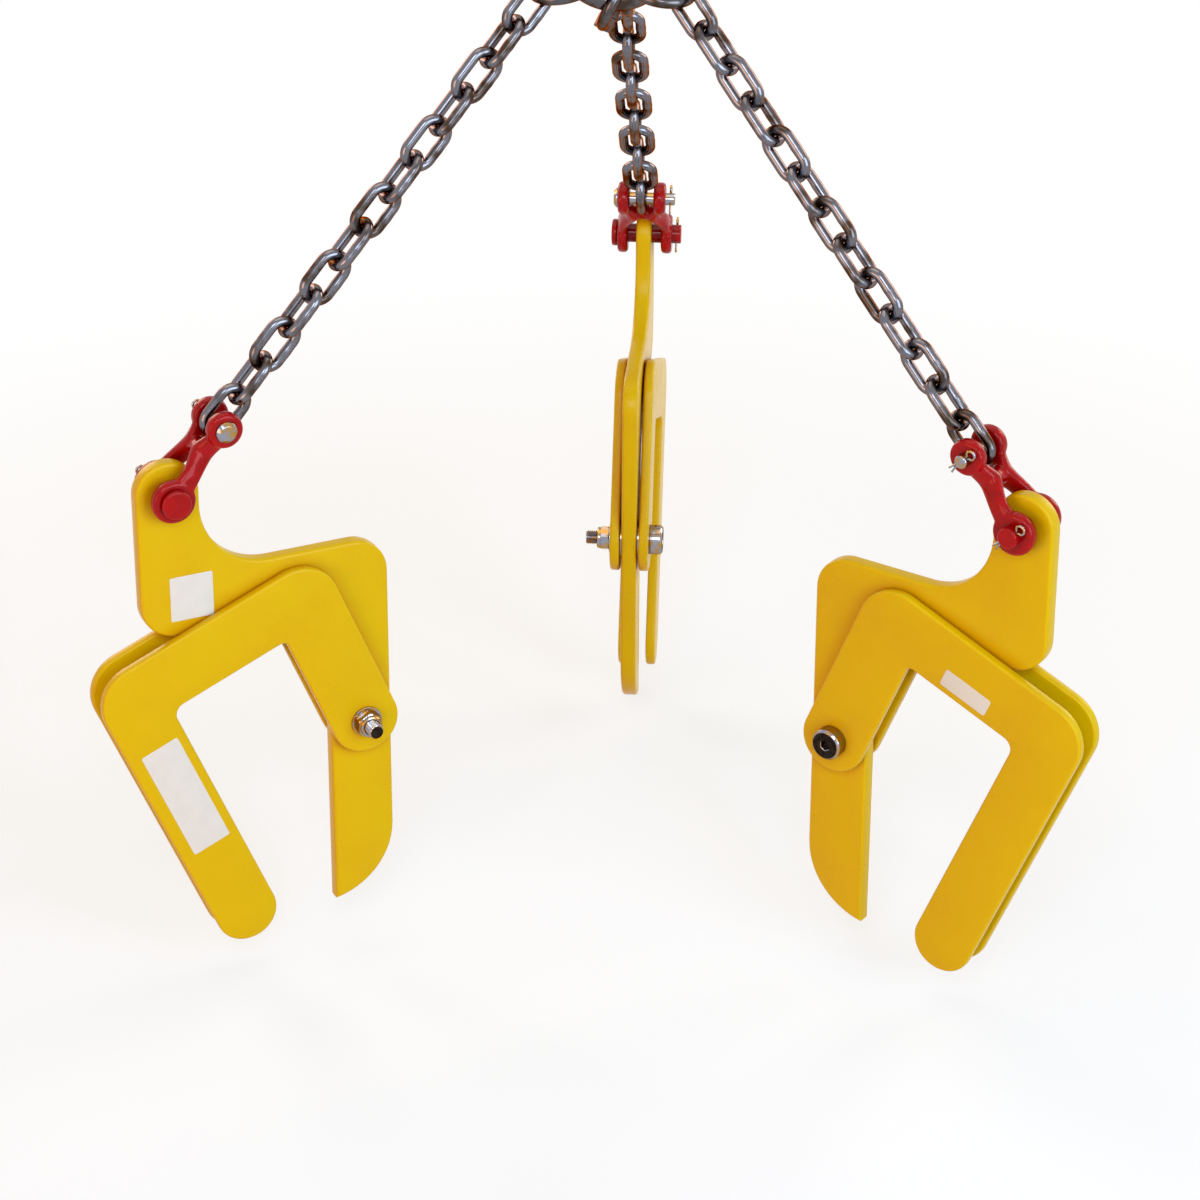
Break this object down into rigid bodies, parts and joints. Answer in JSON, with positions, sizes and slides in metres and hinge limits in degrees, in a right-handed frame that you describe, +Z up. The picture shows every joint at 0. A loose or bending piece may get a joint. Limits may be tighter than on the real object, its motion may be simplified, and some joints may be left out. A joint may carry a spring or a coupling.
{
  "type": "manhole lifter",
  "caption": "Chain sling with hinged tongs that hook over the wall of a round manhole frame and grip it as the master link is raised.",
  "frame": {"origin": "the crane-hook seat, inside the top of the master link", "axes": "+Z up, +Y towards the rear leg, +X to the right seen from the front"},
  "size_m": [0.8934, 0.7738, 1.0108],
  "materials": {
    "forged_steel": "forged, dark, satin",
    "chain_steel": "oiled alloy chain, satin",
    "zinc_steel": "zinc plated",
    "red_paint": "gloss red paint on forged steel",
    "yellow_paint": "gloss yellow powder coat on steel plate"
  },
  "bodies": {
    "master": {"master_link": "forged_steel"},
    "coupler_upper_rear": {"coupler_upper_rear": "forged_steel", "coupler_pin_rear": "zinc_steel"},
    "coupler_lower_rear": {"coupler_lower_rear": "forged_steel"},
    "chain_top_rear": {"chain_top_rear": "chain_steel"},
    "chain_middle_rear": {"chain_middle_rear": "chain_steel"},
    "chain_low_rear": {"chain_low_rear": "chain_steel"},
    "clevis_rear": {"clevis_rear": "red_paint", "chain_pin_rear": "zinc_steel", "lug_pin_rear": "red_paint", "cotters_rear": "zinc_steel"},
    "lever_rear": {"lever_rear": "yellow_paint"},
    "jaws_rear": {"jaw_plates_rear": "yellow_paint", "pivot_bolt_rear": "zinc_steel", "nut_rear": "zinc_steel", "washer_rear": "zinc_steel", "spacers_rear": "zinc_steel"},
    "coupler_upper_left": {"coupler_upper_left": "forged_steel", "coupler_pin_left": "zinc_steel"},
    "coupler_lower_left": {"coupler_lower_left": "forged_steel"},
    "chain_top_left": {"chain_top_left": "chain_steel"},
    "chain_middle_left": {"chain_middle_left": "chain_steel"},
    "chain_low_left": {"chain_low_left": "chain_steel"},
    "clevis_left": {"clevis_left": "red_paint", "chain_pin_left": "zinc_steel", "lug_pin_left": "red_paint", "cotters_left": "zinc_steel"},
    "lever_left": {"lever_left": "yellow_paint"},
    "jaws_left": {"jaw_plates_left": "yellow_paint", "pivot_bolt_left": "zinc_steel", "nut_left": "zinc_steel", "washer_left": "zinc_steel", "spacers_left": "zinc_steel"},
    "coupler_upper_right": {"coupler_upper_right": "forged_steel", "coupler_pin_right": "zinc_steel"},
    "coupler_lower_right": {"coupler_lower_right": "forged_steel"},
    "chain_top_right": {"chain_top_right": "chain_steel"},
    "chain_middle_right": {"chain_middle_right": "chain_steel"},
    "chain_low_right": {"chain_low_right": "chain_steel"},
    "clevis_right": {"clevis_right": "red_paint", "chain_pin_right": "zinc_steel", "lug_pin_right": "red_paint", "cotters_right": "zinc_steel"},
    "lever_right": {"lever_right": "yellow_paint"},
    "jaws_right": {"jaw_plates_right": "yellow_paint", "pivot_bolt_right": "zinc_steel", "nut_right": "zinc_steel", "washer_right": "zinc_steel", "spacers_right": "zinc_steel"}
  },
  "joints": [
    {"name": "seat_rear", "type": "hinge", "parent": "master", "child": "coupler_upper_rear", "pos_m": [0, 0, -0.1495], "axis": [-1, 0, 0], "range_deg": [-8, 3]},
    {"name": "load_pin_rear", "type": "hinge", "parent": "coupler_upper_rear", "child": "coupler_lower_rear", "pos_m": [0, 0.0177, -0.15516], "axis": [-0.4384, -0.2737, -0.8561], "range_deg": [-6, 2]},
    {"name": "bow_rear", "type": "hinge", "parent": "coupler_lower_rear", "child": "chain_top_rear", "pos_m": [0, 0.05104, -0.16581], "axis": [-0.4384, -0.2737, -0.8561], "range_deg": [-6, 2]},
    {"name": "upper_links_rear", "type": "hinge", "parent": "chain_top_rear", "child": "chain_middle_rear", "pos_m": [0, 0.16636, -0.24107], "axis": [-1, 0, 0], "range_deg": [-10, 3]},
    {"name": "lower_links_rear", "type": "hinge", "parent": "chain_middle_rear", "child": "chain_low_rear", "pos_m": [0, 0.28086, -0.36912], "axis": [-1, 0, 0], "range_deg": [-10, 3]},
    {"name": "chain_pin_rear", "type": "hinge", "parent": "chain_low_rear", "child": "clevis_rear", "pos_m": [0, 0.37675, -0.47638], "axis": [-1, 0, 0], "range_deg": [-20, 7]},
    {"name": "lug_pin_rear", "type": "hinge", "parent": "clevis_rear", "child": "lever_rear", "pos_m": [0, 0.4274, -0.53303], "axis": [-1, 0, 0], "range_deg": [-20, 7]},
    {"name": "jaw_bolt_rear", "type": "hinge", "parent": "lever_rear", "child": "jaws_rear", "pos_m": [0, 0.25211, -0.79073], "axis": [-1, 0, 0], "range_deg": [-25, 12]},
    {"name": "seat_left", "type": "hinge", "parent": "master", "child": "coupler_upper_left", "pos_m": [-0.03877, 0, -0.12685], "axis": [-0.4909, 0, 0.8712], "range_deg": [-8, 3]},
    {"name": "load_pin_left", "type": "hinge", "parent": "coupler_upper_left", "child": "coupler_lower_left", "pos_m": [-0.04205, -0.01819, -0.1287], "axis": [0.9753, -0.1879, 0.1164], "range_deg": [-6, 2]},
    {"name": "bow_left", "type": "hinge", "parent": "coupler_lower_left", "child": "chain_top_left", "pos_m": [-0.0642, -0.04106, -0.13344], "axis": [0.5, -0.866, 0], "range_deg": [-6, 2]},
    {"name": "upper_links_left", "type": "hinge", "parent": "chain_top_left", "child": "chain_middle_left", "pos_m": [-0.14753, -0.08918, -0.24107], "axis": [0.5, -0.866, 0], "range_deg": [-10, 3]},
    {"name": "lower_links_left", "type": "hinge", "parent": "chain_middle_left", "child": "chain_low_left", "pos_m": [-0.24669, -0.14643, -0.36912], "axis": [0.5, -0.866, 0], "range_deg": [-10, 3]},
    {"name": "chain_pin_left", "type": "hinge", "parent": "chain_low_left", "child": "clevis_left", "pos_m": [-0.32974, -0.19437, -0.47638], "axis": [0.5, -0.866, 0], "range_deg": [-20, 7]},
    {"name": "lug_pin_left", "type": "hinge", "parent": "clevis_left", "child": "lever_left", "pos_m": [-0.37361, -0.2197, -0.53303], "axis": [0.5, -0.866, 0], "range_deg": [-20, 7]},
    {"name": "jaw_bolt_left", "type": "hinge", "parent": "lever_left", "child": "jaws_left", "pos_m": [-0.22179, -0.13205, -0.79073], "axis": [0.5, -0.866, 0], "range_deg": [-25, 12]},
    {"name": "seat_right", "type": "hinge", "parent": "master", "child": "coupler_upper_right", "pos_m": [0.03877, 0, -0.12685], "axis": [-0.4909, 0, -0.8712], "range_deg": [-8, 3]},
    {"name": "load_pin_right", "type": "hinge", "parent": "coupler_upper_right", "child": "coupler_lower_right", "pos_m": [0.04205, -0.01819, -0.1287], "axis": [0.9753, 0.1879, -0.1164], "range_deg": [-6, 2]},
    {"name": "bow_right", "type": "hinge", "parent": "coupler_lower_right", "child": "chain_top_right", "pos_m": [0.0642, -0.04106, -0.13344], "axis": [0.5, 0.866, 0], "range_deg": [-6, 2]},
    {"name": "upper_links_right", "type": "hinge", "parent": "chain_top_right", "child": "chain_middle_right", "pos_m": [0.14753, -0.08918, -0.24107], "axis": [0.5, 0.866, 0], "range_deg": [-10, 3]},
    {"name": "lower_links_right", "type": "hinge", "parent": "chain_middle_right", "child": "chain_low_right", "pos_m": [0.24669, -0.14643, -0.36912], "axis": [0.5, 0.866, 0], "range_deg": [-10, 3]},
    {"name": "chain_pin_right", "type": "hinge", "parent": "chain_low_right", "child": "clevis_right", "pos_m": [0.32974, -0.19437, -0.47638], "axis": [0.5, 0.866, 0], "range_deg": [-20, 7]},
    {"name": "lug_pin_right", "type": "hinge", "parent": "clevis_right", "child": "lever_right", "pos_m": [0.37361, -0.2197, -0.53303], "axis": [0.5, 0.866, 0], "range_deg": [-20, 7]},
    {"name": "jaw_bolt_right", "type": "hinge", "parent": "lever_right", "child": "jaws_right", "pos_m": [0.22179, -0.13205, -0.79073], "axis": [0.5, 0.866, 0], "range_deg": [-25, 12]}
  ]
}
